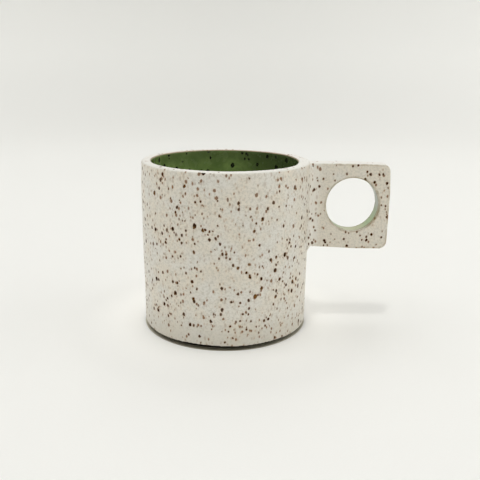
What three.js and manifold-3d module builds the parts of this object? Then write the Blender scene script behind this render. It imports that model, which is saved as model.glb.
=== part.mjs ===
// A stoneware mug, hand-built from rolled clay: a straight cylinder on a flat base disc, and a
// square slab handle with one round finger hole. White glaze outside, green glaze inside.
//
// Millimetres, +Z up. The origin is the centre of the foot, on the table; the handle points to +X.
// Each clay piece, each line of slip between two of them, each pressed-in coil and each coat of
// glaze is a mesh of its own. All turned pieces share one number of segments, so that their
// touching faces are the same facets.

import * as THREE from "three";
import { mergeVertices } from "three/addons/utils/BufferGeometryUtils.js";
import Module from "manifold-3d";

// ---- Driving dimensions ----

const MUG_HEIGHT = 86.1; // table to rim
const MUG_RADIUS = 43; // over the white glaze
const WALL_THICKNESS = 5.2; // clay with the glaze on both sides
const BASE_THICKNESS = 5; // clay only
const GLAZE = 0.5; // each coat, fired
const SLIP = 0.3; // the line of slip in each joint
const FOOT_HEIGHT = 2.4; // bare bevel round the underside, from the table to the glaze
const FOOT_INSET = 3;
const SEAM_COIL_RADIUS = 5; // hollow of the coil in the inside corner
const RIM_OUTER_ROUND = 1.8;
const RIM_INNER_ROUND = 1.6;

const HANDLE_REACH = 84.4; // mug's axis to the handle's outer edge, at its lower end
const HANDLE_LEAN = 0.8; // how far the outer edge leans back towards its upper end
const HANDLE_TOP = 84.9; // at the wall
const HANDLE_TOP_FALL = 0.3; // how much lower the top edge is at the outer end
const HANDLE_BOTTOM = 40.1; // at the outer end
const HANDLE_BOTTOM_RISE = 1.1; // how much higher the bottom edge meets the wall
const HANDLE_THICKNESS = 9;
const HANDLE_EDGE = 0.8; // softened edge of its two faces
const HANDLE_TOP_CORNER = 3.6;
const HANDLE_BOTTOM_CORNER = 3.5;
const HOLE_RADIUS = 13.6; // over the glaze
const HOLE_X = 65.15;
const HOLE_Z = 63.6;
const SIDE_FILLET_RADIUS = 4; // hollow between the wall and the handle's faces, over the glaze
const UNDER_FILLET_RADIUS = 2; // the same under the handle
const FILLET_LIP = 0.25; // how thin a pressed-in coil runs out
const GAP = 0.05; // left where one piece is cut to fit another

const TURN_SEGMENTS = 72;
const HOLE_SEGMENTS = 48;
const ARC_STEPS = 5;
const MERGE_DISTANCE = 1e-4;

// ---- Sizes that follow ----

const CLAY_RADIUS = MUG_RADIUS - GLAZE;
const CLAY_INNER_RADIUS = MUG_RADIUS - WALL_THICKNESS + GLAZE;
const LINER_RADIUS = CLAY_INNER_RADIUS - GLAZE;
const CLAY_TOP = MUG_HEIGHT - GLAZE;
const WALL_BOTTOM = BASE_THICKNESS + SLIP;
const FLOOR = BASE_THICKNESS + GLAZE;
const RIM_OUTER_CENTRE = { r: MUG_RADIUS - RIM_OUTER_ROUND, z: MUG_HEIGHT - RIM_OUTER_ROUND };
const RIM_INNER_CENTRE = { r: LINER_RADIUS + RIM_INNER_ROUND, z: MUG_HEIGHT - RIM_INNER_ROUND };
const SEAM_CENTRE = {
  r: CLAY_INNER_RADIUS - SEAM_COIL_RADIUS,
  z: BASE_THICKNESS + SEAM_COIL_RADIUS,
};
const WITHIN_WALL = CLAY_INNER_RADIUS + GLAZE; // where handle pieces start, before the wall cuts them
const HANDLE_CLAY_HALF = HANDLE_THICKNESS / 2 - GLAZE;
const HOLE_CLAY_RADIUS = HOLE_RADIUS + GLAZE;

// ---- Colours and finish ----

const FINISHES = {
  clay: { color: 0x4a3b30, roughness: 0.9, metalness: 0 },
  slip: { color: 0x5d4c3e, roughness: 0.95, metalness: 0 },
  white: { color: 0xd3cdc1, roughness: 0.42, metalness: 0 },
  green: { color: 0x4c7034, roughness: 0.3, metalness: 0 },
  paleGreen: { color: 0x9aa488, roughness: 0.4, metalness: 0 },
};

// ---- Joining and cutting ----

const wasm = await Module();
wasm.setup();

/** A closed geometry as a solid that can be joined and cut. */
function solidFrom(geometry) {
  const bare = geometry.clone();
  bare.deleteAttribute("normal");
  bare.deleteAttribute("uv");
  const merged = mergeVertices(bare, MERGE_DISTANCE);
  return new wasm.Manifold(
    new wasm.Mesh({
      numProp: 3,
      vertProperties: merged.attributes.position.array,
      triVerts: new Uint32Array(merged.index.array),
    }),
  );
}

/** A solid back as a geometry. */
function geometryFrom(solid) {
  const { numProp, numVert, vertProperties, triVerts } = solid.getMesh();
  const positions = new Float32Array(numVert * 3);
  for (let i = 0; i < numVert; i++) {
    positions.set(vertProperties.subarray(i * numProp, i * numProp + 3), i * 3);
  }
  const geometry = new THREE.BufferGeometry();
  geometry.setAttribute("position", new THREE.BufferAttribute(positions, 3));
  geometry.setIndex(new THREE.BufferAttribute(new Uint32Array(triVerts), 1));
  geometry.computeVertexNormals();
  return geometry;
}

// ---- Shapes ----

/** Points on an arc of a turned profile, with angles in degrees from +r towards +z. */
function arc({ r, z }, radius, from, to, steps = ARC_STEPS) {
  return Array.from({ length: steps + 1 }, (_, i) => {
    const angle = THREE.MathUtils.degToRad(from + ((to - from) * i) / steps);
    return [r + radius * Math.cos(angle), z + radius * Math.sin(angle)];
  });
}

/** A solid of revolution about Z from [r, z] points, which run anticlockwise. */
function turned(profile) {
  const points = profile.map(([r, z]) => new THREE.Vector2(Math.max(r, 0), z));
  const first = points[0];
  const last = points[points.length - 1];
  if (first.x > 0 || last.x > 0) {
    points.push(first.clone());
  }
  return new THREE.LatheGeometry(points, TURN_SEGMENTS).rotateX(Math.PI / 2);
}

/** A plain full cylinder about the mug's axis. */
function turnedCylinder(radius, bottom, top) {
  return turned([
    [0, bottom],
    [radius, bottom],
    [radius, top],
    [0, top],
  ]);
}

/** An outline in the XZ plane given a thickness along Y, centred on the XZ plane. */
function extrudedAlongY(shape, thickness, edge = 0) {
  const geometry = new THREE.ExtrudeGeometry(shape, {
    depth: thickness - 2 * edge,
    bevelEnabled: edge > 0,
    bevelThickness: edge,
    bevelSize: edge,
    bevelOffset: -edge,
    bevelSegments: 1,
    curveSegments: ARC_STEPS,
  });
  return geometry.rotateX(Math.PI / 2).translate(0, thickness / 2 - edge, 0);
}

/** The handle as a slab without its hole, grown by `skin` and run on into the wall. */
function handleBlank(skin) {
  const right = HANDLE_REACH - GLAZE + skin;
  const bottom = HANDLE_BOTTOM + GLAZE - skin;
  const top = HANDLE_TOP - GLAZE + skin;
  const lowRound = HANDLE_BOTTOM_CORNER - GLAZE + skin;
  const highRound = HANDLE_TOP_CORNER - GLAZE + skin;
  const outline = new THREE.Shape();
  outline.moveTo(WITHIN_WALL, bottom + HANDLE_BOTTOM_RISE);
  outline.lineTo(right - lowRound, bottom);
  outline.absarc(right - lowRound, bottom + lowRound, lowRound, -Math.PI / 2, 0, false);
  outline.absarc(
    right - HANDLE_LEAN - highRound,
    top - HANDLE_TOP_FALL - highRound,
    highRound,
    0,
    Math.PI / 2,
    false,
  );
  outline.lineTo(WITHIN_WALL, top);
  outline.closePath();
  return solidFrom(extrudedAlongY(outline, 2 * (HANDLE_CLAY_HALF + skin), HANDLE_EDGE));
}

/** The round plug that opens the finger hole, or fills it as a coat. */
function holePlug(radius, thickness) {
  const plug = new THREE.CylinderGeometry(radius, radius, thickness, HOLE_SEGMENTS);
  return solidFrom(plug.translate(HOLE_X, 0, HOLE_Z));
}

/**
 * The coil in the upright corner between the wall and one face of the handle, grown by `skin`.
 * Seen from above, its hollow touches the handle's face and the wall's circle.
 */
function sideCoil(side, skin) {
  const radius = SIDE_FILLET_RADIUS + GLAZE - skin;
  const face = HANDLE_CLAY_HALF + skin;
  const centreY = face + radius;
  const reach = CLAY_RADIUS + skin + radius;
  const centreX = Math.sqrt(reach ** 2 - centreY ** 2);
  const wallAngle = Math.atan2(-centreY, -centreX);
  const lipAngle = Math.acos(1 - FILLET_LIP / radius);
  const start = -Math.PI / 2 - lipAngle;
  const end = wallAngle + lipAngle;
  const behindFace = face - HANDLE_EDGE - GLAZE; // deep enough to fill the slab's softened edge
  const outline = new THREE.Shape();
  outline.moveTo(WITHIN_WALL, behindFace);
  outline.lineTo(centreX + radius * Math.cos(start), behindFace);
  outline.absarc(centreX, centreY, radius, start, end, true);
  outline.lineTo(WITHIN_WALL, centreY + radius * Math.sin(end));
  outline.closePath();
  const bottom = HANDLE_BOTTOM + HANDLE_BOTTOM_RISE + HANDLE_EDGE + GLAZE - skin;
  const top = HANDLE_TOP - HANDLE_EDGE - GLAZE + skin;
  const depth = top - bottom;
  const coil = new THREE.ExtrudeGeometry(outline, {
    depth,
    bevelEnabled: false,
    curveSegments: ARC_STEPS,
  });
  coil.translate(0, 0, bottom);
  if (side < 0) {
    // A half turn about X puts the coil on the handle's other face.
    coil.rotateX(Math.PI).translate(0, 0, bottom + top);
  }
  return solidFrom(coil);
}

/** The coil under the handle's inner end, grown by `skin`. */
function underCoil(skin) {
  const radius = UNDER_FILLET_RADIUS + GLAZE - skin;
  const ceiling = HANDLE_BOTTOM + HANDLE_BOTTOM_RISE + GLAZE - skin;
  const centreX = CLAY_RADIUS + skin + radius;
  const centreZ = ceiling - radius;
  const lipAngle = Math.acos(1 - FILLET_LIP / radius);
  const outline = new THREE.Shape();
  outline.moveTo(WITHIN_WALL, ceiling + GLAZE);
  outline.lineTo(WITHIN_WALL, centreZ + radius * Math.sin(lipAngle));
  outline.absarc(centreX, centreZ, radius, Math.PI - lipAngle, Math.PI / 2 + lipAngle, true);
  outline.lineTo(centreX + radius * Math.cos(Math.PI / 2 + lipAngle), ceiling + GLAZE);
  outline.closePath();
  return solidFrom(extrudedAlongY(outline, 2 * (HANDLE_CLAY_HALF - HANDLE_EDGE + skin)));
}

// ---- Turned pieces ----

/** Flat disc with its lower edge bevelled, so the glaze stops clear of the table. */
function baseDisc() {
  return turned([
    [0, 0],
    [CLAY_RADIUS - FOOT_INSET, 0],
    [CLAY_RADIUS, FOOT_HEIGHT],
    [CLAY_RADIUS, BASE_THICKNESS],
    [0, BASE_THICKNESS],
  ]);
}

/** Slip between the base disc and the foot of the wall. */
function baseSlip() {
  return turned([
    [CLAY_INNER_RADIUS, BASE_THICKNESS],
    [CLAY_RADIUS, BASE_THICKNESS],
    [CLAY_RADIUS, WALL_BOTTOM],
    [CLAY_INNER_RADIUS, WALL_BOTTOM],
  ]);
}

/** Rolled wall with a rounded rim. */
function wallCylinder() {
  return turned([
    [CLAY_INNER_RADIUS, WALL_BOTTOM],
    [CLAY_RADIUS, WALL_BOTTOM],
    ...arc(RIM_OUTER_CENTRE, RIM_OUTER_ROUND - GLAZE, 0, 90),
    ...arc(RIM_INNER_CENTRE, RIM_INNER_ROUND - GLAZE, 90, 180),
  ]);
}

/** Coil smoothed into the inside corner, with a hollow face. */
function seamCoil() {
  return turned([
    [CLAY_INNER_RADIUS, BASE_THICKNESS],
    ...arc(SEAM_CENTRE, SEAM_COIL_RADIUS, 360, 270),
  ]);
}

/** Green coat over the floor, the seam coil and the wall, up to the start of the rim. */
function insideGlaze() {
  return turned([
    [0, BASE_THICKNESS],
    ...arc(SEAM_CENTRE, SEAM_COIL_RADIUS, 270, 360),
    [CLAY_INNER_RADIUS, RIM_INNER_CENTRE.z],
    [LINER_RADIUS, RIM_INNER_CENTRE.z],
    ...arc(SEAM_CENTRE, SEAM_COIL_RADIUS - GLAZE, 360, 270),
    [0, FLOOR],
  ]);
}

/** White coat of the body alone: from just above the foot, up the wall and over the rim. */
function bodyCoat() {
  return turned([
    [CLAY_RADIUS, FOOT_HEIGHT],
    [MUG_RADIUS, FOOT_HEIGHT + GLAZE],
    ...arc(RIM_OUTER_CENTRE, RIM_OUTER_ROUND, 0, 90),
    ...arc(RIM_INNER_CENTRE, RIM_INNER_ROUND, 90, 180),
    ...arc(RIM_INNER_CENTRE, RIM_INNER_ROUND - GLAZE, 180, 90),
    ...arc(RIM_OUTER_CENTRE, RIM_OUTER_ROUND - GLAZE, 90, 0),
  ]);
}

// ---- The handle and what joins it on ----

const clayBlank = handleBlank(0);
const wallWithSlip = solidFrom(turnedCylinder(CLAY_RADIUS + SLIP, 0, MUG_HEIGHT));
const wallWithGap = solidFrom(turnedCylinder(CLAY_RADIUS + GAP, 0, MUG_HEIGHT));
const clayHole = holePlug(HOLE_CLAY_RADIUS, HANDLE_THICKNESS);

/** Slab with its inner end hollowed to the wall and its finger hole cut. */
function handleSlab() {
  return clayBlank.subtract(wallWithSlip).subtract(clayHole);
}

/** Slip between the slab's hollowed end and the wall. */
function handleSlip() {
  const sleeve = solidFrom(turnedCylinder(CLAY_RADIUS + SLIP - GAP, 0, MUG_HEIGHT));
  return sleeve.subtract(wallWithGap).intersect(clayBlank);
}

/** A pressed-in coil, cut back to the wall and to the slab with its slip. */
function fitted(coil) {
  return coil.subtract(wallWithGap).subtract(handleBlank(GAP));
}

/** One dipped coat over the body, the coils and the handle, open at the finger hole. */
function outsideGlaze() {
  const coils = (skin) => [sideCoil(1, skin), sideCoil(-1, skin), underCoil(skin)];
  const clay = coils(0).reduce((sum, coil) => sum.add(coil), clayBlank);
  const grown = coils(GLAZE).reduce((sum, coil) => sum.add(coil), handleBlank(GLAZE));
  return solidFrom(bodyCoat())
    .add(grown.subtract(wallWithGap))
    .subtract(clay)
    .subtract(clayHole);
}

/** Pale green coat in the finger hole. */
function holeGlaze() {
  return clayHole.subtract(holePlug(HOLE_RADIUS, HANDLE_THICKNESS + GLAZE));
}

// ---- Assembly ----

const mug = new THREE.Group();

/** Adds one named piece, from a geometry or a solid. */
function addPiece(name, shape, finish) {
  const geometry = shape.isBufferGeometry ? shape : geometryFrom(shape);
  const mesh = new THREE.Mesh(geometry, new THREE.MeshStandardMaterial(FINISHES[finish]));
  mesh.name = name;
  mug.add(mesh);
}

addPiece("base_disc", baseDisc(), "clay");
addPiece("base_slip_line", baseSlip(), "slip");
addPiece("wall_cylinder", wallCylinder(), "clay");
addPiece("inside_seam_coil", seamCoil(), "clay");
addPiece("handle_slab", handleSlab(), "clay");
addPiece("handle_slip_line", handleSlip(), "slip");
addPiece("handle_coil_front", fitted(sideCoil(-1, 0)), "clay");
addPiece("handle_coil_back", fitted(sideCoil(1, 0)), "clay");
addPiece("handle_coil_under", fitted(underCoil(0)), "clay");
addPiece("inside_glaze", insideGlaze(), "green");
addPiece("outside_glaze", outsideGlaze(), "white");
addPiece("finger_hole_glaze", holeGlaze(), "paleGreen");

export default mug;
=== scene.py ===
"""A hand-built stoneware mug, glazed speckled white outside and moss green inside.

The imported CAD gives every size. The glazed surface is worked out as one distance field in
millimetres (body, rim, cavity, slab handle, finger hole and the hollows between them), turned
into a fine mesh, and cut into the coats of glaze that replace the plain CAD ones.
"""

import math

import bpy
import numpy as np
from mathutils import Matrix, Vector


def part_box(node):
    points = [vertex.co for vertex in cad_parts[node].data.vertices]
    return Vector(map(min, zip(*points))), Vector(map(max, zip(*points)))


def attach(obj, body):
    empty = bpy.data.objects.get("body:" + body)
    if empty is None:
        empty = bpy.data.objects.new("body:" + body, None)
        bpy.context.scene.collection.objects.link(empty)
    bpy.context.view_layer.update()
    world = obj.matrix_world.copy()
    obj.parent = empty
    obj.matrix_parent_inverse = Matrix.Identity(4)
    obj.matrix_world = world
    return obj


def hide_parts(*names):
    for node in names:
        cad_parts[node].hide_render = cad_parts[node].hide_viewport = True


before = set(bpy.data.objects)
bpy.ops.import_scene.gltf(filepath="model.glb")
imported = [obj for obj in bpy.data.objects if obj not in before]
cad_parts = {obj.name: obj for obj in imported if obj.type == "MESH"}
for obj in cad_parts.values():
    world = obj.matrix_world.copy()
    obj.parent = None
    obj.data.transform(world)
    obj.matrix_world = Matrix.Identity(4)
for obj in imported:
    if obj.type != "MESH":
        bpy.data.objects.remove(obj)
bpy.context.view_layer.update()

MM = 0.001


def extent(node):
    """Lowest and highest corners of a CAD node, in millimetres."""
    low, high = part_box(node)
    return np.array(low) / MM, np.array(high) / MM


# ---- Sizes from the frame, in millimetres ----

coat_low, coat_high = extent("outside_glaze")
liner_low, liner_high = extent("inside_glaze")
_, disc_high = extent("base_disc")
disc = bpy.data.objects["base_disc"]
disc_points = [disc.matrix_world @ v.co / MM for v in disc.data.vertices]
slab_low, slab_high = extent("handle_slab")
bore_low, bore_high = extent("finger_hole_glaze")

RADIUS = -coat_low[0]
HEIGHT = coat_high[2]
REACH = coat_high[0]
GLAZE = REACH - slab_high[0]
CLAY_RADIUS = disc_high[0]
FOOT_RADIUS = max(p.xy.length for p in disc_points if p.z < 0.1)
LINER_RADIUS = liner_high[0] - GLAZE
FLOOR = liner_low[2] + GLAZE
GLAZE_LINE = coat_low[2]
HANDLE_TOP = slab_high[2] + GLAZE
HANDLE_BOTTOM = slab_low[2] - GLAZE
HANDLE_HALF = slab_high[1] + GLAZE
HOLE_X = (bore_low[0] + bore_high[0]) / 2
HOLE_Z = (bore_low[2] + bore_high[2]) / 2
HOLE_RADIUS = (bore_high[0] - bore_low[0]) / 2 - GLAZE

# ---- Soft shapes of the fired surface, in millimetres ----

# The body
RIM_OUTER_ROUND = 1.3
RIM_INNER_ROUND = 1.2
RIM_WAVE = 0.15  # how uneven the rim's height is
RIM_WAVE_LENGTH = 23
RIM_TAPER = 0.45  # the body draws in this much over RIM_TAPER_HEIGHT below the rim
RIM_TAPER_HEIGHT = 14
CAVITY_ROUND = 4.5  # inside, from wall to floor
FOOT_TAPER = 0.17  # how much narrower the body is at the foot
LEFT_LEAN = 0.45  # how far the side away from the handle leans in, lower down
LEFT_LEAN_HEIGHTS = (45, 8)  # where that starts and where it is full
LEFT_SWELL = 0.13  # how far the same side stands out at all heights
WALL_WAVE = 0.12  # how uneven the wall is
WALL_WAVE_LENGTH = 19
WALL_PUSHED_IN = 1.4  # the inside, where the handle was pressed on
WALL_PUSH_WIDTH = 6
CLEAR_OF_CLAY = 0.08  # the surface stays this far outside the CAD clay

# The handle
HANDLE_EDGE = 0.9  # rounding along its faces
HOLE_EDGE = 0.8
TOP_CORNER = 3.7
BOTTOM_CORNER = 4.0
TOP_RISE = 0.15
TOP_FALL = 0.45  # how much lower the top edge is at the outer end
TOP_FALL_FROM = HOLE_X - 5
BOTTOM_RISE = 1.15  # how much higher the lower edge is at the wall
BOTTOM_RISE_TO = HOLE_X + 3
OUTER_BOW = 0.05
OUTER_LEAN = 0.85  # how far the outer edge leans back towards its upper end
OUTER_LEAN_FROM = HOLE_Z + 4
HOLE_NARROW = 1.012
HOLE_TALL = 0.985
HANDLE_WAVE = 0.06
HANDLE_WAVE_LENGTH = 14
SIDE_HOLLOW = 4.0  # radius of the hollow beside the handle, at the wall
UNDER_HOLLOW = 1.6
TOP_HOLLOW = 1.0
SIDE_HOLLOW_ENDS = (HANDLE_TOP - 3, HANDLE_TOP + 1)

# The white glaze's lower edge
BEAD_ROUND = 0.35
GLAZE_RUN = 0.4  # how far it runs below the CAD coat
GLAZE_LINE_WAVE = 0.2

# The mesh
COAT = 0.35  # thickness of a coat's shell
GRID = 0.85
ON_CUT = 0.05  # a vertex this near to a cut counts as on it

WALL_MIDDLE = (RADIUS + LINER_RADIUS) / 2
HANDLE_FROM = RADIUS + SIDE_HOLLOW + 0.6  # where the coats of body and handle meet
LINER_TOP = HEIGHT - RIM_INNER_ROUND


# ---- Distance field of the glazed surface ----


def smooth_step(value, low, high):
    """0 below low, 1 above high, and an even curve between."""
    t = np.clip((value - low) / (high - low), 0, 1)
    return t * t * (3 - 2 * t)


def round_overlap(a, b, radius):
    """Where two shapes overlap, with the edge between them rounded off."""
    corner = np.hypot(np.maximum(a + radius, 0), np.maximum(b + radius, 0))
    return np.minimum(np.maximum(a, b), -radius) + corner


def round_union(a, b, radius):
    """Two shapes joined, with a hollow along the corner between them."""
    corner = np.hypot(np.maximum(radius - a, 0), np.maximum(radius - b, 0))
    return np.maximum(np.minimum(a, b), radius) - corner


def wave(x, y, z, length):
    """Slow unevenness of a hand-made surface, from 0 to 1."""
    a = np.sin(x / length + 1.3) * np.cos(z / (1.3 * length) - 0.7)
    b = np.sin(y / (0.8 * length) + 2.1) * np.cos((x + z) / (1.7 * length) + 0.4)
    return 0.5 + 0.25 * (a + b)


def glaze_line(x, y):
    """Height of the white glaze's lower edge, which wanders a little round the foot."""
    angle = np.arctan2(y, x)
    wander = np.sin(3 * angle + 0.5) + 0.6 * np.sin(7 * angle + 2.0)
    return GLAZE_LINE - GLAZE_RUN + GLAZE_LINE_WAVE * wander / 1.6


def handle_field(x, y, z):
    """Distance to the slab handle with its finger hole."""
    end = x - REACH - OUTER_BOW + OUTER_LEAN * smooth_step(z, OUTER_LEAN_FROM, HANDLE_TOP)
    top = HANDLE_TOP + TOP_RISE - TOP_FALL * smooth_step(x, TOP_FALL_FROM, REACH)
    towards_wall = np.clip((BOTTOM_RISE_TO - x) / (BOTTOM_RISE_TO - RADIUS), 0, 1)
    bottom = HANDLE_BOTTOM + BOTTOM_RISE * towards_wall
    upper = round_overlap(end, z - top, TOP_CORNER)
    lower = round_overlap(end, bottom - z, BOTTOM_CORNER)
    outline = np.maximum(np.maximum(upper, lower), WALL_MIDDLE - x)
    face = np.abs(y) - HANDLE_HALF + HANDLE_WAVE * wave(x, y, z, HANDLE_WAVE_LENGTH)
    slab = round_overlap(outline, face, HANDLE_EDGE)
    hole = HOLE_RADIUS - np.hypot(HOLE_NARROW * (x - HOLE_X), HOLE_TALL * (z - HOLE_Z))
    return round_overlap(slab, hole, HOLE_EDGE)


def hollow_radius(y, z):
    """Radius of the hollow between wall and handle: wide at its sides, tight above and below."""
    end = np.where(z > HOLE_Z, TOP_HOLLOW, UNDER_HOLLOW)
    beside = smooth_step(np.abs(y), HANDLE_HALF - HANDLE_EDGE, HANDLE_HALF + HANDLE_EDGE)
    beside = beside * (1 - smooth_step(z, *SIDE_HOLLOW_ENDS))
    return end + (SIDE_HOLLOW - end) * beside


def mug_field(x, y, z):
    """Distance to the whole glazed surface, negative inside the mug's wall."""
    r = np.hypot(x, y)
    narrowing = FOOT_TAPER * (1 - z / HEIGHT) + WALL_WAVE * wave(x, y, z, WALL_WAVE_LENGTH)
    narrowing = narrowing + RIM_TAPER * smooth_step(z, HEIGHT - RIM_TAPER_HEIGHT, HEIGHT)
    lopsided = LEFT_LEAN * smooth_step(z, *LEFT_LEAN_HEIGHTS) - LEFT_SWELL
    narrowing = narrowing + np.clip(-x / RADIUS, 0, 1) * lopsided
    narrowing = np.minimum(narrowing, GLAZE - CLEAR_OF_CLAY)
    rim = HEIGHT - RIM_WAVE * wave(x, y, 0 * z, RIM_WAVE_LENGTH)
    outside = round_overlap(r - RADIUS + narrowing, z - rim, RIM_OUTER_ROUND)
    outside = round_overlap(outside, glaze_line(x, y) - z, BEAD_ROUND)
    pushed = smooth_step(x, LINER_RADIUS - WALL_PUSH_WIDTH, LINER_RADIUS)
    pushed = pushed * smooth_step(z, HANDLE_BOTTOM, HOLE_Z)
    cavity = round_overlap(r - LINER_RADIUS + WALL_PUSHED_IN * pushed, FLOOR - z, CAVITY_ROUND)
    filled = round_union(outside, handle_field(x, y, z), hollow_radius(y, z))
    return round_overlap(filled, -cavity, RIM_INNER_ROUND)


def gradient(field, points, step=0.02):
    """Slope of a field at each point."""
    slope = np.empty_like(points)
    for axis in range(3):
        offset = np.zeros(3)
        offset[axis] = step
        ahead = field(*(points + offset).T)
        behind = field(*(points - offset).T)
        slope[:, axis] = (ahead - behind) / (2 * step)
    return slope


# ---- Field to mesh ----


def surface_net(field, low, high, step):
    """Quads close to the field's zero surface: one vertex in each grid cell that it crosses."""
    axes = [np.arange(a, b + step, step) for a, b in zip(low, high)]
    values = field(*np.meshgrid(*axes, indexing="ij"))
    inside = values < 0
    cells = tuple(n - 1 for n in values.shape)
    total = np.zeros(cells + (3,))
    count = np.zeros(cells)
    crossings = []
    for axis in range(3):
        near = [slice(None)] * 3
        far = [slice(None)] * 3
        near[axis], far[axis] = slice(0, -1), slice(1, None)
        start, end = values[tuple(near)], values[tuple(far)]
        crossed = inside[tuple(near)] != inside[tuple(far)]
        crossings.append(crossed)
        share = np.where(crossed, start / np.where(crossed, start - end, 1), 0)
        others = [a for a in range(3) if a != axis]
        for first in (0, 1):
            for second in (0, 1):
                pick = [slice(None)] * 3
                pick[others[0]] = slice(first, first + cells[others[0]])
                pick[others[1]] = slice(second, second + cells[others[1]])
                here = crossed[tuple(pick)]
                count += here
                total[..., axis] += here * share[tuple(pick)]
                total[..., others[0]] += here * first
                total[..., others[1]] += here * second
    used = count > 0
    number = np.full(cells, -1)
    number[used] = np.arange(used.sum())
    corner = np.argwhere(used)
    points = np.array(low) + step * (corner + total[used] / count[used][:, None])
    quads = []
    for axis, crossed in enumerate(crossings):
        b, c = (axis + 1) % 3, (axis + 2) % 3
        node = np.argwhere(crossed)
        node = node[(node[:, b] > 0) & (node[:, c] > 0)]
        node = node[(node[:, b] < cells[b]) & (node[:, c] < cells[c])]
        ring = []
        for back_b, back_c in ((1, 1), (0, 1), (0, 0), (1, 0)):
            cell = node.copy()
            cell[:, b] -= back_b
            cell[:, c] -= back_c
            ring.append(number[tuple(cell.T)])
        quad = np.stack(ring, axis=1)
        outward = inside[tuple(node.T)]
        quad[~outward] = quad[~outward][:, ::-1]
        quads.append(quad)
    return points, np.concatenate(quads)


def settle(field, points, rounds=3):
    """Moves points onto the field's zero surface."""
    for _ in range(rounds):
        slope = gradient(field, points)
        size = (slope**2).sum(axis=1)
        points = points - slope * (field(*points.T) / np.maximum(size, 0.1))[:, None]
    return points


def even_out(field, points, quads, rounds=3):
    """Slides the vertices towards the middle of their neighbours, and back onto the surface."""
    edges = np.concatenate([quads[:, [i, (i + 1) % 4]] for i in range(4)])
    for _ in range(rounds):
        total = np.zeros_like(points)
        count = np.zeros(len(points))
        for here, there in (edges.T, edges.T[::-1]):
            np.add.at(total, here, points[there])
            np.add.at(count, here, 1)
        points = settle(field, (points + total / count[:, None]) / 2, 2)
    return points


def parted(points, faces, side):
    """Cuts faces where `side` is zero. Returns points, the faces above zero and those below."""
    value = side(*points.T)
    value[np.abs(value) < ON_CUT] = 0
    points = list(map(tuple, points))
    between = {}

    def crossing(a, b):
        key = (min(a, b), max(a, b))
        if key not in between:
            t = value[a] / (value[a] - value[b])
            between[key] = len(points)
            points.append(tuple(p + t * (q - p) for p, q in zip(points[a], points[b])))
        return between[key]

    above, below = [], []
    for face in faces:
        values = value[list(face)]
        if values.min() >= 0:
            above.append(face)
        elif values.max() <= 0:
            below.append(face)
        else:
            parts = ([], [])
            for a, b in zip(face, face[1:] + face[:1]):
                if value[a] >= 0:
                    parts[0].append(a)
                if value[a] <= 0:
                    parts[1].append(a)
                if value[a] * value[b] < 0:
                    new = crossing(a, b)
                    parts[0].append(new)
                    parts[1].append(new)
            above.append(tuple(parts[0]))
            below.append(tuple(parts[1]))
    return np.array(points), above, below


def new_object(name, points, faces, normals=None):
    """A smooth mesh object from points in millimetres, with a normal for each face corner."""
    mesh = bpy.data.meshes.new(name)
    mesh.from_pydata((np.asarray(points) * MM).tolist(), [], faces)
    mesh.polygons.foreach_set("use_smooth", [True] * len(mesh.polygons))
    if normals is not None:
        mesh.normals_split_custom_set(normals)
    mesh.update()
    piece = bpy.data.objects.new(name, mesh)
    bpy.context.scene.collection.objects.link(piece)
    return piece


def coat_of(name, points, faces):
    """A closed shell, COAT thick, under a patch of the glazed surface."""
    used = sorted({v for face in faces for v in face})
    place = {v: i for i, v in enumerate(used)}
    faces = [tuple(place[v] for v in face) for face in faces]
    outer = points[used]
    normal = gradient(mug_field, outer)
    normal /= np.linalg.norm(normal, axis=1)[:, None]
    count = len(outer)
    points = np.concatenate([outer, outer - COAT * normal])
    directed = {(a, b) for face in faces for a, b in zip(face, face[1:] + face[:1])}
    border = sorted((a, b) for a, b in directed if (b, a) not in directed)
    under = [tuple(v + count for v in reversed(face)) for face in faces]
    sides = [(b, a, a + count, b + count) for a, b in border]
    corner_normals = [normal[v] for face in faces for v in face]
    corner_normals += [-normal[v - count] for face in under for v in face]
    for side in sides:
        across = np.cross(points[side[1]] - points[side[0]], points[side[3]] - points[side[0]])
        across /= max(np.linalg.norm(across), 1e-9)
        corner_normals += [across] * 4
    return new_object(name, points, faces + under + sides, corner_normals)


def glaze_coats():
    """The glazed surface as named coats: body, handle, inside and finger hole."""
    low = (-RADIUS - 2 * GRID, -RADIUS - 2 * GRID, GLAZE_LINE - 2)
    high = (REACH + 2 * GRID, RADIUS + 2 * GRID, HEIGHT + 2 * GRID)
    points, quads = surface_net(mug_field, low, high, GRID)
    points = even_out(mug_field, settle(mug_field, points), quads)
    faces = list(map(tuple, quads.tolist()))

    def above_foot(x, y, z):
        return z - glaze_line(x, y) - BEAD_ROUND / 4

    def outside(x, y, z):
        return np.maximum(np.hypot(x, y) - WALL_MIDDLE, z - LINER_TOP)

    def on_handle(x, y, z):
        return x - HANDLE_FROM

    def off_bore(x, y, z):
        away = np.hypot(x - HOLE_X, z - HOLE_Z) - HOLE_RADIUS - 2 * HOLE_EDGE
        return np.maximum(away, np.abs(y) - HANDLE_HALF + HOLE_EDGE)

    points, faces, _ = parted(points, faces, above_foot)
    points, faces, inside = parted(points, faces, outside)
    points, handle, body = parted(points, faces, on_handle)
    points, handle, bore = parted(points, handle, off_bore)
    return {
        "white_glaze_body": coat_of("white_glaze_body", points, body),
        "white_glaze_handle": coat_of("white_glaze_handle", points, handle),
        "green_glaze_inside": coat_of("green_glaze_inside", points, inside),
        "pale_glaze_finger_hole": coat_of("pale_glaze_finger_hole", points, bore),
    }


# ---- The foot ----

FOOT_STEPS = 180
FOOT_INSET = 0.2  # the foot's edge stands this far inside the CAD one
FOOT_ROUND = 0.35
FOOT_CHIP = 0.07
FOOT_CHIP_LENGTH = 2.3
BEVEL_LAP = 0.2  # how far the bevel goes on behind the glaze's edge
BEVEL_GAP = 0.15


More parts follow.
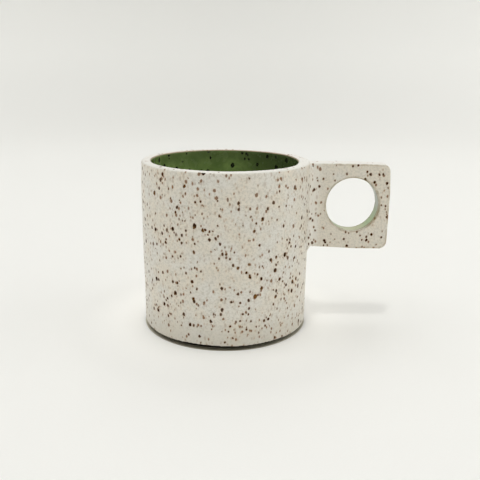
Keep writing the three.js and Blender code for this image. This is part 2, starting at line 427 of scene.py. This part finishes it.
def foot_disc():
    """The base disc: bare clay, with a trimmed bevel from the table up to the glaze."""
    inset = FOOT_RADIUS - FOOT_INSET
    edge = (inset, FOOT_ROUND * 0.35)
    bevel_top = (CLAY_RADIUS - BEVEL_GAP, GLAZE_LINE + BEVEL_LAP)
    profile = [(r, 0.0) for r in np.linspace(0, inset - FOOT_ROUND, 12)]
    profile += [(inset - FOOT_ROUND * 0.3, FOOT_ROUND * 0.08), edge]
    for share in (0.25, 0.5, 0.75, 1.0):
        profile.append(tuple(a + share * (b - a) for a, b in zip(edge, bevel_top)))
    profile += [(CLAY_RADIUS - BEVEL_GAP, disc_high[2]), (0.0, disc_high[2])]
    angles = np.linspace(0, 2 * math.pi, FOOT_STEPS, endpoint=False)
    points = [(0.0, 0.0, 0.0)]
    for r, z in profile[1:-1]:
        for angle in angles:
            x, y = r * math.cos(angle), r * math.sin(angle)
            uneven = FOOT_CHIP * float(wave(x, y, 9 * z, FOOT_CHIP_LENGTH)) * (z > 0)
            scale = (r - uneven) / r
            points.append((x * scale, y * scale, z))
    points.append((0.0, 0.0, profile[-1][1]))
    rings = len(profile) - 2
    last = len(points) - 1
    faces = []
    for i in range(FOOT_STEPS):
        j = (i + 1) % FOOT_STEPS
        faces.append((0, 1 + j, 1 + i))
        for ring in range(rings - 1):
            a = 1 + ring * FOOT_STEPS
            faces.append((a + i, a + j, a + FOOT_STEPS + j, a + FOOT_STEPS + i))
        top = 1 + (rings - 1) * FOOT_STEPS
        faces.append((last, top + i, top + j))
    return new_object("bare_clay_foot", points, faces)


# ---- Materials ----


def colour(red, green, blue):
    """A screen colour of 0 to 255 as the linear one that a shader takes."""
    shares = (red / 255, green / 255, blue / 255)
    return tuple(c / 12.92 if c < 0.04 else ((c + 0.055) / 1.055) ** 2.4 for c in shares) + (1,)


class Graph:
    """A material's nodes, written as plain expressions."""

    def __init__(self, name):
        self.material = bpy.data.materials.new(name)
        self.material.use_nodes = True
        self.nodes = self.material.node_tree.nodes
        self.links = self.material.node_tree.links
        self.nodes.clear()
        place = self.nodes.new("ShaderNodeTexCoord")
        self.normal = place.outputs["Normal"]
        self.mm = self.vector("SCALE", place.outputs["Object"], 1 / MM)

    def put(self, node, values):
        """Sets or links a node's inputs from a dictionary."""
        for key, value in values.items():
            if isinstance(value, bpy.types.NodeSocket):
                self.links.new(value, node.inputs[key])
            else:
                node.inputs[key].default_value = value
        return node

    def node(self, kind, values, **settings):
        """A new shader node, with its settings and inputs filled in."""
        made = self.nodes.new("ShaderNode" + kind)
        for key, value in settings.items():
            setattr(made, key, value)
        return self.put(made, values)

    def math(self, operation, a, b=0.0):
        """Arithmetic on one or two numbers."""
        return self.node("Math", {0: a, 1: b}, operation=operation).outputs[0]

    def vector(self, operation, a, b):
        """Arithmetic on two vectors, or on a vector and a number for SCALE."""
        if operation == "SCALE":
            return self.node("VectorMath", {0: a, "Scale": b}, operation=operation).outputs[0]
        made = self.node("VectorMath", {0: a, 1: b}, operation=operation)
        return made.outputs["Value" if operation in ("LENGTH", "DOT_PRODUCT") else "Vector"]

    def axes(self, vector):
        """A vector's x, y and z."""
        return self.node("SeparateXYZ", {0: vector}).outputs[:3]

    def step(self, value, low, high, start=0.0, end=1.0):
        """Runs smoothly from start to end as value goes from low to high."""
        values = {"Value": value, "From Min": low, "From Max": high, "To Min": start, "To Max": end}
        return self.node("MapRange", values, interpolation_type="SMOOTHSTEP").outputs[0]

    def noise(self, vector, size, detail=2.0, roughness=0.5, output=0):
        """Cloudy noise, with features about `size` millimetres across."""
        values = {"Vector": vector, "Scale": 1 / size, "Detail": detail, "Roughness": roughness}
        return self.node("TexNoise", values).outputs[output]

    def shifted(self, vector, size, amount, detail=1.0):
        """The place, pushed about by noise, so that what is drawn with it turns uneven."""
        cloud = self.noise(vector, size, detail, output=1)
        centred = self.vector("SUBTRACT", cloud, (0.5, 0.5, 0.5))
        return self.vector("ADD", vector, self.vector("SCALE", centred, 2 * amount))

    def mix(self, factor, a, b):
        """A colour between a and b."""
        made = self.node("Mix", {0: factor, 6: a, 7: b}, data_type="RGBA")
        return made.outputs[2]

    def blend(self, factor, a, b):
        """A number between a and b."""
        return self.node("Mix", {0: factor, 2: a, 3: b}, data_type="FLOAT").outputs[0]

    def finish(self, base, roughness, height, **fixed):
        """Ends the graph in one shader. height is in millimetres."""
        bump = self.node("Bump", {"Strength": 1.0, "Distance": MM, "Height": height})
        values = {"Base Color": base, "Roughness": roughness, "Normal": bump.outputs[0]}
        values.update({key.replace("_", " "): value for key, value in fixed.items()})
        shader = self.node("BsdfPrincipled", values)
        output = self.node("OutputMaterial", {"Surface": shader.outputs[0]})
        output.is_active_output = True
        return self.material


# Iron specks, largest first: cell, smallest and largest radius, share of cells that hold one,
# how far it is stretched upwards (1 is round), how ragged its edge is, how brown it is, and how
# much it covers. Lengths are in millimetres.
SPECKS = (
    dict(cell=4.7, small=0.6, large=0.98, share=0.68, tall=0.85, ragged=0.38, brown=0.1, cover=1.0),
    dict(cell=2.6, small=0.42, large=0.7, share=0.8, tall=0.75, ragged=0.32, brown=0.5, cover=0.95),
    dict(cell=2.2, small=0.25, large=0.45, share=0.78, tall=0.6, ragged=0.25, brown=0.9, cover=0.85),
    dict(cell=1.6, small=0.2, large=0.5, share=0.8, tall=0.5, ragged=0.3, brown=1.3, cover=0.24),
)
# The handle has smaller and fewer ones.
HANDLE_SPECKS = tuple(
    dict(layer, large=0.85 * layer["large"], share=0.62 * layer["share"]) for layer in SPECKS
)
GREEN_SPECKS = (
    dict(cell=4.2, small=0.7, large=1.2, share=0.85, tall=0.8, ragged=0.4, brown=0.0, cover=1.0),
    dict(cell=2.9, small=0.35, large=0.6, share=0.6, tall=0.8, ragged=0.3, brown=0.0, cover=1.0),
)
SPECK_EDGE = 0.1  # how soft a speck's edge is
SPECK_STAIN = 0.4  # how far its stain reaches
SPECK_HEART = (-0.15, -0.5)  # inside its edge, from where it is darker to where it is darkest
SPECK_RAGGED_SIZE = 1.3
RUSTY_HEIGHTS = (HEIGHT - 22, HEIGHT - 6)  # specks turn browner, larger and fewer over these
RUSTY = 0.22  # how much browner
RUSTY_GROWTH = 0.35
RUSTY_THINNING = 0.8


def speck_layer(graph, layer, number, crowd, rusty):
    """One size of speck: how much of it shows, its stain, its heart and its random shade."""
    offset = (17.0 * number, 5.0 * number, 11.0 * number)
    place = graph.vector("ADD", graph.mm, offset)
    place = graph.vector("MULTIPLY", place, (1.0, 1.0, layer["tall"]))
    place = graph.shifted(place, SPECK_RAGGED_SIZE, layer["ragged"])
    cells = graph.node(
        "TexVoronoi", {"Vector": place, "Scale": 1 / layer["cell"], "Randomness": 1.0}
    )
    size, chance, shade = graph.axes(cells.outputs["Color"])
    distance = graph.math("MULTIPLY", cells.outputs["Distance"], layer["cell"])
    spread = layer["large"] - layer["small"]
    radius = graph.math("MULTIPLY", graph.math("POWER", size, 1.3), spread)
    radius = graph.math("ADD", radius, layer["small"])
    radius = graph.math("ADD", radius, graph.math("MULTIPLY", rusty, RUSTY_GROWTH))
    limit = graph.math("MULTIPLY", crowd, layer["share"])
    there = graph.math("LESS_THAN", chance, limit)
    past = graph.math("SUBTRACT", distance, radius)
    core = graph.step(past, SPECK_EDGE / 2, -SPECK_EDGE / 2)
    stain = graph.step(past, SPECK_STAIN, -SPECK_EDGE)
    core = graph.math("MULTIPLY", core, there)
    stain = graph.math("MULTIPLY", stain, there)
    heart = graph.step(past, *SPECK_HEART)
    return core, stain, heart, shade


def speckled(graph, base, dark, rust, stain_colour, strength=1.0, layers=SPECKS):
    """Lays specks over a base colour. Returns the colour and the specks' cover."""
    crowd = graph.step(graph.noise(graph.mm, 16, 2), 0.35, 0.65, 0.65, 1.3)
    on_top = graph.step(graph.axes(graph.normal)[2], 0.3, 0.8, 1.0, 0.45)
    rusty = graph.step(graph.axes(graph.mm)[2], *RUSTY_HEIGHTS, 0.0, RUSTY)
    fewer = graph.math("SUBTRACT", on_top, graph.math("MULTIPLY", rusty, RUSTY_THINNING))
    crowd = graph.math("MULTIPLY", crowd, fewer)
    cover = 0.0
    for number, layer in enumerate(layers):
        core, stain, heart, shade = speck_layer(graph, layer, number, crowd, rusty)
        shade = graph.math("ADD", shade, rusty)
        brown = graph.step(shade, 1 - layer["brown"], 1.3 - layer["brown"])
        dark_heart = graph.math("MULTIPLY", brown, 0.45)
        light = graph.blend(heart, graph.math("MAXIMUM", brown, 0.45), dark_heart)
        tone = graph.mix(light, dark, rust)
        full = layer["cover"] * strength
        base = graph.mix(graph.math("MULTIPLY", stain, 0.45 * full), base, stain_colour)
        opacity = graph.math("MULTIPLY", core, graph.blend(brown, full, 0.8 * full))
        base = graph.mix(opacity, base, tone)
        cover = graph.math("MAXIMUM", cover, opacity)
    return base, cover


# ---- Colours ----

SPECK_DARK = colour(28, 15, 6)
SPECK_RUST = colour(117, 67, 18)
STAIN = colour(171, 130, 74)
WHITE_COOL = colour(230, 227, 219)
WHITE_WARM = colour(231, 223, 208)
WHITE_GREY = colour(201, 196, 183)
WHITE_PAINTED_TOP_LIGHT = colour(232, 230, 223)  # painted light: glaze facing up, as on the rim and the handle's top, made whiter
WHITE_POOL_AND_PAINTED_SIDE_LIGHT = colour(243, 239, 230)  # whiter where glaze pools in the hollow beside the handle; also painted light down the body's right side
WHITE_THIN = colour(168, 144, 112)  # run thin along the handle's edges
GREEN = colour(163, 189, 114)
GREEN_DEEP = colour(126, 152, 86)
GREEN_SHADE = colour(68, 82, 46)
GREEN_SPECK = colour(16, 20, 10)
BREAK_BROWN = colour(150, 116, 70)  # where the white ends at the rim
OLIVE = colour(134, 122, 76)  # where white and pale green meet
PALE_GREY = colour(181, 187, 179)
PALE_GREEN = colour(172, 192, 150)
PALE_OLIVE = colour(193, 194, 160)
CLAY_LIGHT = colour(44, 34, 22)
CLAY_DARK = colour(20, 13, 6)
SLIP_LIGHT = colour(150, 128, 104)
SLIP_DARK = colour(112, 92, 72)


def green_tone(graph):
    """The inside glaze's colour: mottled, with painted shade deeper down, towards the handle's side
    and near the rim.
    """
    x, _, z = graph.axes(graph.mm)
    slow = graph.noise(graph.mm, 13, 2)
    fine = graph.noise(graph.mm, 1.6, 3)
    tone = graph.mix(graph.step(slow, 0.35, 0.65), GREEN, GREEN_DEEP)
    tone = graph.mix(graph.step(fine, 0.4, 0.7, 0.0, 0.45), tone, GREEN_DEEP)
    # Painted shade: deeper green further down the inside.
    tone = graph.mix(graph.step(z, HEIGHT - 8, HEIGHT - 13, 0.0, 0.5), tone, GREEN_DEEP)
    # Painted shade: darker towards the handle's side.
    tone = graph.mix(graph.step(x, -3, 34, 0.0, 0.95), tone, GREEN_SHADE)
    # Painted shade: darker just below the rim.
    return graph.mix(graph.step(z, HEIGHT - 12, HEIGHT - 2, 0.0, 0.6), tone, GREEN_SHADE)


def past_hole(graph):
    """How far outside the finger hole a place on the handle's face is."""
    flat = graph.vector("MULTIPLY", graph.mm, (1, 0, 1))
    from_axis = graph.vector("SUBTRACT", flat, (HOLE_X, 0, HOLE_Z))
    return graph.math("SUBTRACT", graph.vector("LENGTH", from_axis, (0, 0, 0)), HOLE_RADIUS)


def hole_lip(graph):
    """How much olive shows where the finger hole's glaze laps over its edge."""
    wander = graph.step(graph.noise(graph.mm, 2.0, 2), 0.3, 0.7, -0.25, 0.35)
    past = graph.math("ADD", past_hole(graph), wander)
    patchy = graph.step(graph.noise(graph.mm, 6, 2), 0.35, 0.65, 0.1, 0.6)
    return graph.math("MULTIPLY", graph.step(past, 1.1, 0.5), patchy)


def edge_line(graph, x, z):
    """How thin the glaze runs along the edges of the handle and round its hole."""
    corner = (TOP_CORNER + BOTTOM_CORNER) / 2
    middle = (HANDLE_TOP + HANDLE_BOTTOM) / 2
    along = graph.math("MAXIMUM", graph.math("SUBTRACT", x, REACH - corner), 0.0)
    up = graph.math("ABSOLUTE", graph.math("SUBTRACT", z, middle))
    up = graph.math("MAXIMUM", graph.math("SUBTRACT", up, HANDLE_TOP - middle - corner), 0.0)
    along_squared = graph.math("POWER", along, 2.0)
    up_squared = graph.math("POWER", up, 2.0)
    reach = graph.math("SQRT", graph.math("ADD", along_squared, up_squared))
    inset = graph.math("SUBTRACT", corner, reach)
    inset = graph.math("MINIMUM", inset, past_hole(graph))
    wander = graph.step(graph.noise(graph.mm, 2.5, 2), 0.3, 0.7, -0.25, 0.25)
    inset = graph.math("ADD", inset, wander)
    line = graph.math("MULTIPLY", graph.step(inset, 1.5, 0.8), graph.step(inset, -0.2, 0.4))
    patchy = graph.step(graph.noise(graph.mm, 5, 2), 0.35, 0.65, 0.05, 0.6)
    away = graph.step(x, HANDLE_FROM, HANDLE_FROM + 3)
    sideways = graph.math("ABSOLUTE", graph.axes(graph.normal)[1])
    on_face = graph.math("MULTIPLY", graph.step(sideways, 0.3, 0.8), away)
    return graph.math("MULTIPLY", graph.math("MULTIPLY", line, patchy), on_face)


def past_rim(graph, x, z):
    """How far inwards over the rim's inner edge a place is, in millimetres, a little ragged."""
    ragged = graph.math("MULTIPLY", graph.noise(graph.mm, 2.2, 3), 0.5)
    radial = graph.vector("LENGTH", graph.vector("MULTIPLY", graph.mm, (1, 1, 0)), (0, 0, 0))
    inner = graph.step(radial, WALL_MIDDLE, WALL_MIDDLE - 0.6)
    inwards = graph.math("SUBTRACT", HEIGHT + LINER_RADIUS + RIM_INNER_ROUND, radial)
    inwards = graph.math("ADD", graph.math("SUBTRACT", inwards, z), ragged)
    pushed = graph.step(x, LINER_RADIUS - WALL_PUSH_WIDTH, LINER_RADIUS, 0.0, WALL_PUSHED_IN)
    return graph.math("MULTIPLY", graph.math("SUBTRACT", inwards, pushed), inner)


def pool_and_painted_side_light(graph, x):
    """How much glaze has pooled in the hollow beside the handle. It depends on x alone, so it is
    also painted light down the body's right side.
    """
    from_wall = graph.step(x, RADIUS - 2, RADIUS + 0.5)
    to_handle = graph.step(x, RADIUS + 7, RADIUS + 2.5)
    return graph.math("MULTIPLY", from_wall, to_handle)


def white_glaze(name, on_handle):
    """Satin off-white glaze with iron specks. It breaks brown on the rim and the sharp edges."""
    graph = Graph(name)
    x, _, z = graph.axes(graph.mm)
    slow = graph.noise(graph.mm, 11, 3)
    fine = graph.noise(graph.mm, 1.1, 3, 0.7)
    warmth = graph.step(slow, 0.2, 0.5) if on_handle else graph.step(slow, 0.32, 0.68)
    base = graph.mix(warmth, WHITE_COOL, WHITE_WARM)
    base = graph.mix(graph.step(fine, 0.4, 0.7, 0.0, 0.8), base, WHITE_GREY)
    # Painted shade: the glaze turns greyer towards the foot.
    base = graph.mix(graph.step(z, 20, 3, 0.0, 0.6), base, WHITE_GREY)
    # Whiter for glaze pooled beside the handle, and painted light down the body's right side.
    base = graph.mix(graph.math("MULTIPLY", pool_and_painted_side_light(graph, x), 0.8), base, WHITE_POOL_AND_PAINTED_SIDE_LIGHT)
    # Painted light: glaze that faces up is made whiter.
    base = graph.mix(graph.step(graph.axes(graph.normal)[2], 0.3, 0.9), base, WHITE_PAINTED_TOP_LIGHT)
    layers = HANDLE_SPECKS if on_handle else SPECKS
    base, cover = speckled(graph, base, SPECK_DARK, SPECK_RUST, STAIN, layers=layers)
    if on_handle:
        base = graph.mix(edge_line(graph, x, z), base, WHITE_THIN)
        base = graph.mix(hole_lip(graph), base, OLIVE)
    else:
        inwards = past_rim(graph, x, z)
        base = graph.mix(graph.step(inwards, 0.9, 1.7, 0.0, 0.85), base, BREAK_BROWN)
        over = graph.step(inwards, 1.9, 2.2)
        base = graph.mix(over, base, green_tone(graph))
    swell = graph.math("MULTIPLY", graph.noise(graph.mm, 7, 1), 0.08)
    peel = graph.math("MULTIPLY", graph.noise(graph.mm, 1.1, 2), 0.012)
    height = graph.math("ADD", swell, peel)
    height = graph.math("SUBTRACT", height, graph.math("MULTIPLY", cover, 0.02))
    roughness = graph.step(graph.noise(graph.mm, 5, 3), 0.3, 0.7, 0.34, 0.44)
    roughness = graph.blend(cover, roughness, 0.55)
    shine = graph.blend(cover, 0.6, 0.05)
    if not on_handle:
        shine = graph.blend(over, shine, 0.12)
    return graph.finish(base, roughness, height, Specular_IOR_Level=shine)


def green_glaze():
    """Glossier moss green glaze with a few black specks."""
    graph = Graph("green_glaze")
    base = green_tone(graph)
    base, cover = speckled(graph, base, GREEN_SPECK, GREEN_SPECK, GREEN_SHADE, layers=GREEN_SPECKS)
    swell = graph.math("MULTIPLY", graph.noise(graph.mm, 8, 1), 0.1)
    height = graph.math("SUBTRACT", swell, graph.math("MULTIPLY", cover, 0.02))
    roughness = graph.step(graph.noise(graph.mm, 4, 3), 0.3, 0.7, 0.2, 0.3)
    return graph.finish(base, roughness, height)


def pale_glaze():
    """Pale green glaze in the finger hole, olive where it meets the white."""
    graph = Graph("pale_green_glaze")
    _, y, z = graph.axes(graph.mm)
    y = graph.math("ABSOLUTE", y)
    y = graph.math("ADD", y, graph.math("MULTIPLY", graph.noise(graph.mm, 3, 2), 1.2))
    z = graph.math("ADD", z, graph.math("MULTIPLY", graph.noise(graph.mm, 6, 3), 4.0))
    pale = graph.mix(graph.step(z, HOLE_Z - 6, HOLE_Z + 4), PALE_GREEN, PALE_GREY)
    pale = graph.mix(graph.step(z, HOLE_Z - 8, HOLE_Z - 12), pale, PALE_OLIVE)
    base = graph.mix(graph.step(y, HANDLE_HALF - 1.2, HANDLE_HALF - 0.2), pale, OLIVE)
    base, _ = speckled(graph, base, SPECK_DARK, SPECK_RUST, OLIVE, 0.8, HANDLE_SPECKS[1:])
    height = graph.math("MULTIPLY", graph.noise(graph.mm, 5, 2), 0.06)
    roughness = graph.step(graph.noise(graph.mm, 4, 3), 0.3, 0.7, 0.3, 0.42)
    return graph.finish(base, roughness, height)


def bare_clay(name="bare_clay", light=CLAY_LIGHT, dark=CLAY_DARK):
    """Unglazed fired clay with grog: grainy, matt, darker in slow patches."""
    graph = Graph(name)
    slow = graph.noise(graph.mm, 9, 3)
    grain = graph.noise(graph.mm, 0.5, 4, 0.7)
    base = graph.mix(graph.step(slow, 0.3, 0.7), light, dark)
    base = graph.mix(graph.step(grain, 0.5, 0.75, 0.0, 0.7), base, dark)
    height = graph.math("MULTIPLY", grain, 0.12)
    roughness = graph.step(grain, 0.3, 0.7, 0.82, 0.95)
    return graph.finish(base, roughness, height, Specular_IOR_Level=0.2)


def set_material(piece, material):
    """One material over a whole mesh."""
    piece.data.materials.clear()
    piece.data.materials.append(material)


def dress(piece, material, slot, *nodes):
    """Finishes a piece that stands for CAD nodes."""
    set_material(piece, material)
    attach(piece, "root")
    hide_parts(*nodes)


coats = glaze_coats()
body_glaze = white_glaze("white_glaze", False)
dress(coats["white_glaze_body"], body_glaze, "white_glaze", "outside_glaze")
handle_glaze = white_glaze("white_glaze_on_handle", True)
dress(coats["white_glaze_handle"], handle_glaze, "white_glaze", "outside_glaze")
dress(coats["green_glaze_inside"], green_glaze(), "green_glaze", "inside_glaze")
dress(coats["pale_glaze_finger_hole"], pale_glaze(), "pale_green_glaze", "finger_hole_glaze")
clay = bare_clay()
dress(foot_disc(), clay, "bare_clay", "base_disc")
slip = bare_clay("slip", SLIP_LIGHT, SLIP_DARK)
for name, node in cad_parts.items():
    if not node.hide_render:
        set_material(node, slip if "slip" in name else clay)


# ---- Studio: a round paper sweep, five far lights and an even surround. In metres ----

SWEEP_FLAT = 0.8
SWEEP_BEND = 0.5
SWEEP_WALL = 1.1
SWEEP_STEPS = 96


def sweep():
    """A pale floor that curves up into a wall all round."""
    profile = [(r, 0.0) for r in np.linspace(0, SWEEP_FLAT, 9)]
    for angle in np.linspace(0, math.pi / 2, 17)[1:]:
        bend = (SWEEP_FLAT + SWEEP_BEND * math.sin(angle), SWEEP_BEND * (1 - math.cos(angle)))
        profile.append(bend)
    profile.append((SWEEP_FLAT + SWEEP_BEND, SWEEP_WALL))
    points = [(0.0, 0.0, 0.0)]
    for r, z in profile[1:]:
        for angle in np.linspace(0, 2 * math.pi, SWEEP_STEPS, endpoint=False):
            points.append((r / MM * math.cos(angle), r / MM * math.sin(angle), z / MM))
    faces = []
    for i in range(SWEEP_STEPS):
        j = (i + 1) % SWEEP_STEPS
        faces.append((0, 1 + i, 1 + j))
        for ring in range(len(profile) - 2):
            a = 1 + ring * SWEEP_STEPS
            faces.append((a + j, a + i, a + SWEEP_STEPS + i, a + SWEEP_STEPS + j))
    return new_object("paper_sweep", points, faces)


PAPER_LIGHT = colour(240, 240, 237)
PAPER_DARK = colour(236, 236, 233)
PAPER_PAINTED_WALL_LIGHT = colour(251, 251, 248)
PAPER_PAINTED_FRONT_SHADE = colour(212, 212, 209)
PAPER_PAINTED_LIGHT_BESIDE = colour(253, 253, 250)
PAINTED_SHADOW_ROUND_FOOT = colour(206, 197, 172)
PAINTED_SHADOW_FRONT_OF_FOOT = colour(140, 130, 100)
FRONT_WAY = (-0.45, -0.9, 0.0)


def paper():
    """Matt off-white paper with painted light and shade: painted light up the wall and beside the
    mug, painted shade to the front, and a painted shadow where the foot overhangs it.
    """
    graph = Graph("paper")
    x, y, z = graph.axes(graph.mm)
    fibre = graph.noise(graph.mm, 0.8, 3)
    base = graph.mix(fibre, PAPER_LIGHT, PAPER_DARK)
    # Painted light: the paper is lighter up the wall.
    base = graph.mix(graph.step(z, 0, 200), base, PAPER_PAINTED_WALL_LIGHT)
    front = graph.vector("DOT_PRODUCT", graph.mm, FRONT_WAY)
    # Painted shade: the paper is darker towards the front.
    base = graph.mix(graph.step(front, 120, 800), base, PAPER_PAINTED_FRONT_SHADE)
    away = graph.vector("LENGTH", graph.mm, (0, 0, 0))
    # Painted light: the paper is lighter close beside the mug.
    base = graph.mix(graph.step(away, RADIUS + 38, RADIUS + 1), base, PAPER_PAINTED_LIGHT_BESIDE)
    # Painted shadow under the foot's overhang, darkest in front.
    in_front = graph.math("MULTIPLY", graph.step(y, -8, -36), graph.step(x, 5, 35, 1.0, 0.5))
    shade = graph.mix(in_front, PAINTED_SHADOW_ROUND_FOOT, PAINTED_SHADOW_FRONT_OF_FOOT)
    base = graph.mix(graph.step(away, RADIUS + 0.2, RADIUS - 0.5, 0.0, 0.85), base, shade)
    height = graph.math("MULTIPLY", fibre, 0.004)
    return graph.finish(base, graph.step(fibre, 0.3, 0.7, 0.9, 0.97), height)


floor = sweep()
set_material(floor, paper())


LAMP_TINT = (1.0, 0.995, 0.98)
SIDE_TINT = (1.0, 0.995, 0.995)
SURROUND_TINT = (1.0, 0.995, 0.985, 1)
SURROUND_STRENGTH = 0.368


def far_light(name, left, front, width, share, tint):
    """A round soft light far overhead, leaning left and to the front by degrees.

    width is how wide it looks, in degrees, and share is how bright it makes white paper.
    """
    data = bpy.data.lights.new(name, "SUN")
    data.angle = math.radians(width)
    towards = Vector((-math.tan(math.radians(left)), -math.tan(math.radians(front)), 1)).normalized()
    data.energy = share * math.pi / towards.z
    data.color = tint
    light = bpy.data.objects.new(name, data)
    light.rotation_mode = "QUATERNION"
    light.rotation_quaternion = (-towards).to_track_quat("-Z", "Y")
    bpy.context.scene.collection.objects.link(light)


far_light("overhead_softbox", 0, 0, 60, 0.219, LAMP_TINT)
far_light("overhead_lamp", 6, 11, 6, 0.125, LAMP_TINT)
far_light("back_softbox", 0, -30, 45, 0.138, LAMP_TINT)
far_light("left_softbox", 65, 0, 50, 0.172, SIDE_TINT)
far_light("right_softbox", -65, 0, 50, 0.125, SIDE_TINT)

world = bpy.data.worlds.new("studio")
world.use_nodes = True
surround = world.node_tree.nodes["Background"]
surround.inputs["Color"].default_value = SURROUND_TINT
surround.inputs["Strength"].default_value = SURROUND_STRENGTH
bpy.context.scene.world = world
bpy.context.scene.view_settings.view_transform = "Standard"

# ---- Camera: metres, radians, and millimetres for the lens ----

CAMERA_BACK = 0.3074
CAMERA_UP = 0.1299
CAMERA_YAW = 0.0248
CAMERA_PITCH = 0.2748
CAMERA_ROLL = 0.0129
SENSOR = 36.0
LENS = 45.36


def camera():
    """Just above the rim, looking down at the mug's front, a little to its right."""
    ahead = Vector((
        math.sin(CAMERA_YAW) * math.cos(CAMERA_PITCH),
        math.cos(CAMERA_YAW) * math.cos(CAMERA_PITCH),
        -math.sin(CAMERA_PITCH),
    ))
    level = Vector((math.cos(CAMERA_YAW), -math.sin(CAMERA_YAW), 0))
    upright = level.cross(ahead)
    right = math.cos(CAMERA_ROLL) * level + math.sin(CAMERA_ROLL) * upright
    up = math.cos(CAMERA_ROLL) * upright - math.sin(CAMERA_ROLL) * level
    data = bpy.data.cameras.new("camera")
    data.sensor_width = SENSOR
    data.lens = LENS
    data.clip_start = 0.01
    made = bpy.data.objects.new("camera", data)
    turn = Matrix((right, up, -ahead)).transposed().to_4x4()
    made.matrix_world = Matrix.Translation((0, -CAMERA_BACK, CAMERA_UP)) @ turn
    bpy.context.scene.collection.objects.link(made)
    bpy.context.scene.camera = made


camera()
